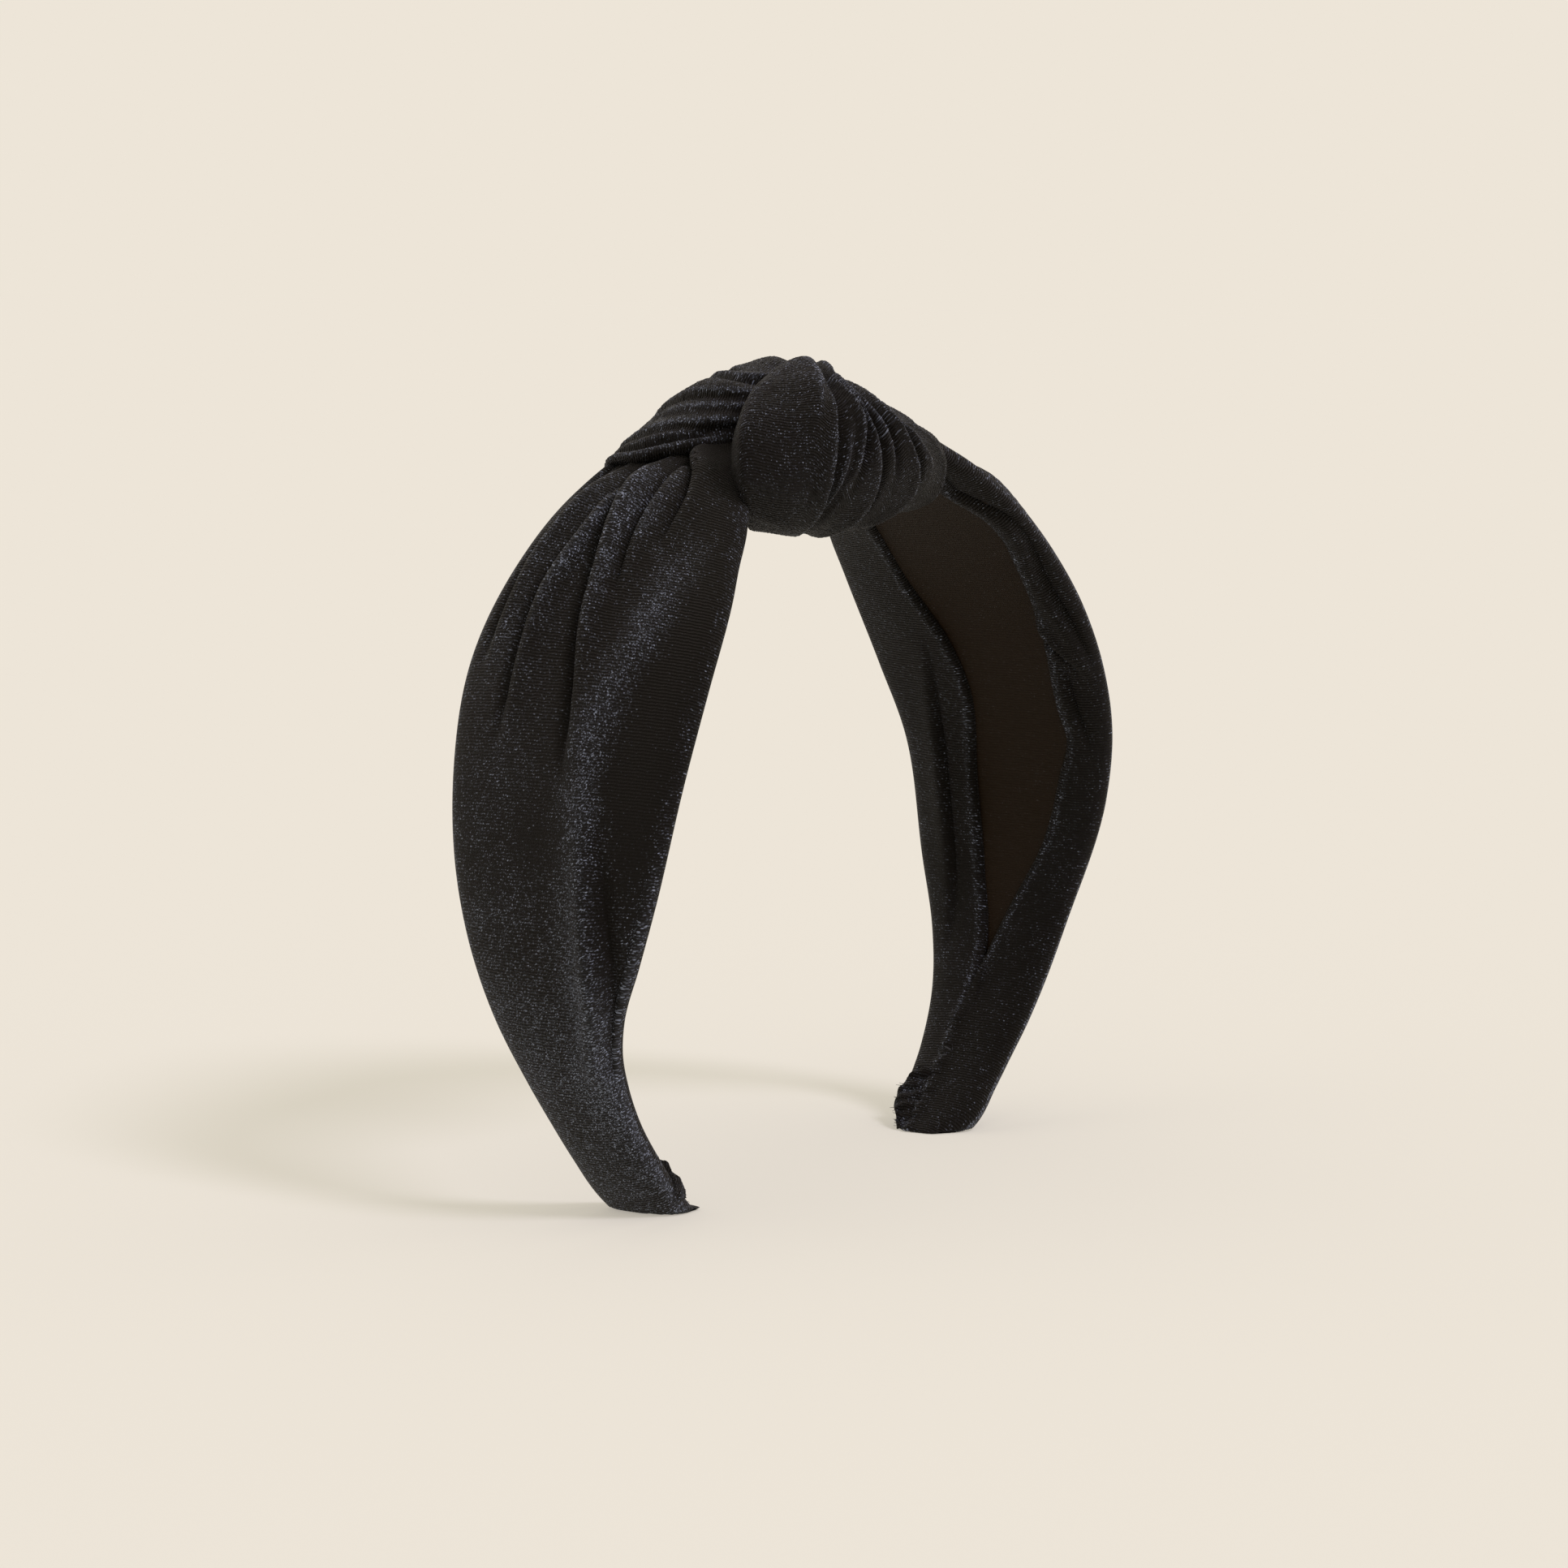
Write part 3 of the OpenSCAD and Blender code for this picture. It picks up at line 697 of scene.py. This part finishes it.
def strip(name, side, shape, material, low, high, inset, end_s, crowned=0.0, lower=0.0):
    """A closed strip between two offsets from the hoop, inset from the wing's edges: the lining or the foam.

    crowned rounds its outer face down at the edges, and lower sinks it near the knot and near the tip.
    """
    s = np.linspace(0, end_s, 160)
    under_knot = 13 * fade(s, 30, 44)
    front, rear = (np.maximum(ease(s, *zip(*shape[key])) - inset, under_knot) for key in ("front", "rear"))
    high = high - lower * (fade(s, 38, 56) + step(s, 160, 185))[:, None]
    part = np.linspace(-1, 1, 60)[None]
    y = np.where(part < 0, part * front[:, None], part * rear[:, None])
    ss = s[:, None] + 0 * y
    outer = hoop(ss, low + (high - low) * (1 - crowned * np.abs(part) ** 3) + 0 * y, y, side)
    inner = hoop(ss, low + 0 * y, y, side)
    rows, cols = y.shape
    cloth = np.stack([ss, y, 0 * y], -1).reshape(-1, 3)
    faces = np.concatenate([quads(rows, cols, 0, side > 0), quads(rows, cols, rows * cols, side < 0),
                            walls(rows, cols, side > 0)])
    obj = new_piece(name, np.concatenate([outer.reshape(-1, 3), inner.reshape(-1, 3)]), faces,
                    np.concatenate([cloth, cloth]), np.full(2 * rows * cols, 0.1))
    dress(obj, material)
    across_flex(obj)
    return obj


for side, word, shape in ((-1, "left", LEFT), (1, "right", RIGHT)):
    lining = strip(f"{word}_lining_ribbon", side, shape, LINING, low=-1.95, high=-1.15, inset=3.2,
                   end_s=194)
    foam = strip(f"{word}_foam", side, shape, FOAM, low=1.05, high=2.5, inset=4.2, end_s=192,
                 crowned=0.8, lower=1.25)
    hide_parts(f"lining_{word}_arm", *(["lining_crown"] if side > 0 else []))
    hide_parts(f"foam_{word}_arm", *(["foam_crown"] if side > 0 else []))

for name in ("core_crown", "core_left_arm", "core_right_arm"):
    dress(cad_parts[name], PLASTIC)
dress(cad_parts["knot_tack_stitches"], THREAD)

# ---------------------------------------------------------------- tips and seams

def tubes(runs, sides):
    """Thin round threads along each run of (points, start radius, end radius), as verts and faces."""
    verts, faces = [], []
    for points, r0, r1 in runs:
        points = np.asarray(points, float)
        along = np.gradient(points, axis=0)
        along /= np.linalg.norm(along, axis=1, keepdims=True)
        first = np.cross(along, (0.3, 0.2, 0.93))
        first /= np.linalg.norm(first, axis=1, keepdims=True)
        second = np.cross(along, first)
        turn = np.linspace(0, 2 * math.pi, sides, endpoint=False)[None, :, None]
        radius = np.linspace(r0, r1, len(points))[:, None, None]
        ring = points[:, None] + radius * (np.cos(turn) * first[:, None] + np.sin(turn) * second[:, None])
        base = len(verts)
        verts.extend(ring.reshape(-1, 3).tolist())
        for i in range(len(points) - 1):
            for k in range(sides):
                a, b = base + i * sides + k, base + i * sides + (k + 1) % sides
                faces.append((a, b, b + sides, a + sides))
        faces.append(tuple(range(base + sides - 1, base - 1, -1)))
        faces.append(tuple(range(base + (len(points) - 1) * sides, base + len(points) * sides)))
    return verts, faces


def crumpled_end(side, rows=70, cols=80):
    """The velvet's end, turned up inside the tip and over its edge. Returns points, cloth and crumple."""
    s = np.linspace(184.5, 200.5, rows)[:, None]
    v = np.linspace(0, 1, cols)[None]
    turn = [0, 0.2, 0.45, 0.65, 0.8, 0.92, 1]
    y = ease(v, turn, [2.4, 4.3, 7.0, 9.0, 10.1, 10.3, 9.8]) + 0.9 * bump(s - 190, 5) * step(v, 0.4, 0.8)
    y = (y * (1 - 0.38 * step(s, 193, 201) * step(v, 0.3, 0.8))
         * (1 - 0.2 * fade(s, 184, 190) * step(v, 0.4, 0.8)))
    n = ease(v, turn, [-2.9, -3.5, -3.9, -3.6, -2.2, -0.2, 1.2]) + 0 * s
    crumple = 0.45 * np.sin(s * 0.9 + 5 * v) * np.sin(9 * v + s * 0.33) + 0.25 * np.sin(s * 2.1 - 7 * v)
    n = n + crumple * step(v, 0.05, 0.4) * fade(n, -3, 1)
    y = y + 0.4 * crumple * step(v, 0.6, 0.9)
    s = s + 0 * y + 0.8 * np.sin(7 * v + 1) * step(s, 196, 201)
    cloth = np.stack([s, along_rows(np.stack([y, n], -1)), 0 * s], -1)
    return hoop(s, n, side * y, side), cloth, crumple


def tip_fold(name, side):
    """A tip's folded end, whose outer face is the one that looks into the hoop."""
    points, cloth, crumple = crumpled_end(side)
    inwards = hoop(190, -9, 0, side) - hoop(190, 0, 0, side)
    outward = 1 if (grid_normals(points)[35, 20] * inwards).sum() > 0 else -1
    # Painted light on the crumples: the colour gets lighter and darker with their height, as painted highlight
    # and painted shade.
    obj = cloth_sheet(name, points, cloth, np.clip(0.25 + 0.5 * crumple, 0, 1), 0.7, outward, FLOOR_GAP)
    dress(obj, VELVET)
    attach(obj, f"{SIDE_WORD[side]}_arm")
    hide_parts(f"tip_fold_{SIDE_WORD[side]}")
    frayed = fray(f"{name}_fray", side)


def fray(name, side):
    """Loose threads along the folded end's raw edge."""
    rng = np.random.default_rng(11 + side)
    runs = []
    for at, reach in zip(rng.uniform(186, 199, 70), rng.uniform(0.8, 2.0, 70)):
        edge = float(np.interp(at, [184, 190, 195, 200], [9.0, 11.0, 9.4, 6.6]))
        lean, rise = rng.normal(0, 0.35, 2)
        steps = np.linspace(0, 1, 5)
        path = hoop(at + lean * steps * reach, rng.uniform(-2.5, 0.8) + rise * steps,
                    side * (edge - 0.6 + reach * steps), side)
        path[:, 2] = np.maximum(path[:, 2], 0.12)
        runs.append((path, 0.09, 0.03))
    obj = new_piece(name, *tubes(runs, 4))
    dress(obj, THREAD)
    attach(obj, f"{SIDE_WORD[side]}_arm")
    return obj


def seam_thread(name, side):
    """Small stitches that draw the two hems together inside the tip."""
    runs = []
    for i, at in enumerate(np.arange(171, 183, 2.0)):
        t = np.linspace(-1, 1, 9)
        y = side * (3.1 + 1.4 * t)
        n = -3.0 - 0.55 * np.sqrt(1 - 0.9 * t * t)
        runs.append((hoop(at + (0.5 if i % 2 else -0.5) * t, n, y, side), 0.22, 0.22))
    obj = new_piece(name, *tubes(runs, 8))
    dress(obj, THREAD)
    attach(obj, f"{SIDE_WORD[side]}_arm")
    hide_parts(f"seam_stitches_{SIDE_WORD[side]}")


for side, word in SIDE_WORD.items():
    tip_fold(f"{word}_tip_fold_velvet", side)
    seam_thread(f"{word}_seam_thread", side)

# ---------------------------------------------------------------- floor, light and camera

PAPER = (0.847, 0.783, 0.687)
PAPER_SHADED = (0.393, 0.393, 0.355)    # what the floor reflects, on top of its glow
FLOOR_GLOW, FLOOR_REACH = 0.45, 6.0     # the share that shadows can't darken, and half its size in metres


def floor():
    """The plain paper that the headband stands on, lit partly by itself so that its shadows stay pale."""
    mesh = bpy.data.meshes.new("floor")
    corners = [(x * FLOOR_REACH, y * FLOOR_REACH, 0) for x, y in ((-1, -1), (1, -1), (1, 1), (-1, 1))]
    mesh.from_pydata(corners, [], [(0, 1, 2, 3)])
    obj = bpy.data.objects.new("floor", mesh)
    bpy.context.scene.collection.objects.link(obj)
    mat = new_material("paper", Base_Color=PAPER_SHADED, Emission_Color=PAPER, Emission_Strength=FLOOR_GLOW,
                       Roughness=1.0, Specular_IOR_Level=0.0)[0]
    obj.data.materials.append(mat)


floor()
world = bpy.data.worlds.new("studio")
bpy.context.scene.world = world
world.use_nodes = True
world.node_tree.nodes["Background"].inputs[0].default_value = (*PAPER, 1)
world.node_tree.nodes["Background"].inputs[1].default_value = 1.0


def lamp(name, direction, strength, angle, colour):
    """A sun that shines from direction, angle degrees wide."""
    data = bpy.data.lights.new(name, "SUN")
    data.energy = strength
    data.angle = math.radians(angle)
    data.color = colour
    obj = bpy.data.objects.new(name, data)
    bpy.context.scene.collection.objects.link(obj)
    obj.rotation_mode = "QUATERNION"
    obj.rotation_quaternion = Vector(direction).to_track_quat("Z", "Y")


lamp("key", (-0.055, -0.666, 0.744), 1.6, 15, (0.894, 0.825, 1.0))

# The camera looks along back, past the hoop's middle height; right and up are its own axes.
AZIMUTH, ELEVATION, DISTANCE = math.radians(54.5), math.radians(6.69), 1.0
LOOK_AT, SHIFT_LEFT, SHIFT_UP = Vector((0, 0, 0.075)), 0.00214, 0.00187
LENS = 116.1

back = Vector((-math.sin(AZIMUTH) * math.cos(ELEVATION), -math.cos(AZIMUTH) * math.cos(ELEVATION),
               math.sin(ELEVATION)))
right = Vector((math.cos(AZIMUTH), -math.sin(AZIMUTH), 0))
up = back.cross(right)
target = LOOK_AT - right * SHIFT_LEFT + up * SHIFT_UP
camera = bpy.data.objects.new("camera", bpy.data.cameras.new("camera"))
bpy.context.scene.collection.objects.link(camera)
camera.location = target + back * DISTANCE
camera.rotation_mode = "QUATERNION"
camera.rotation_quaternion = back.to_track_quat("Z", "Y")
camera.data.sensor_width = 36
camera.data.lens = LENS
bpy.context.scene.camera = camera
bpy.context.scene.view_settings.view_transform = "Standard"
bpy.context.scene.view_settings.look = "None"
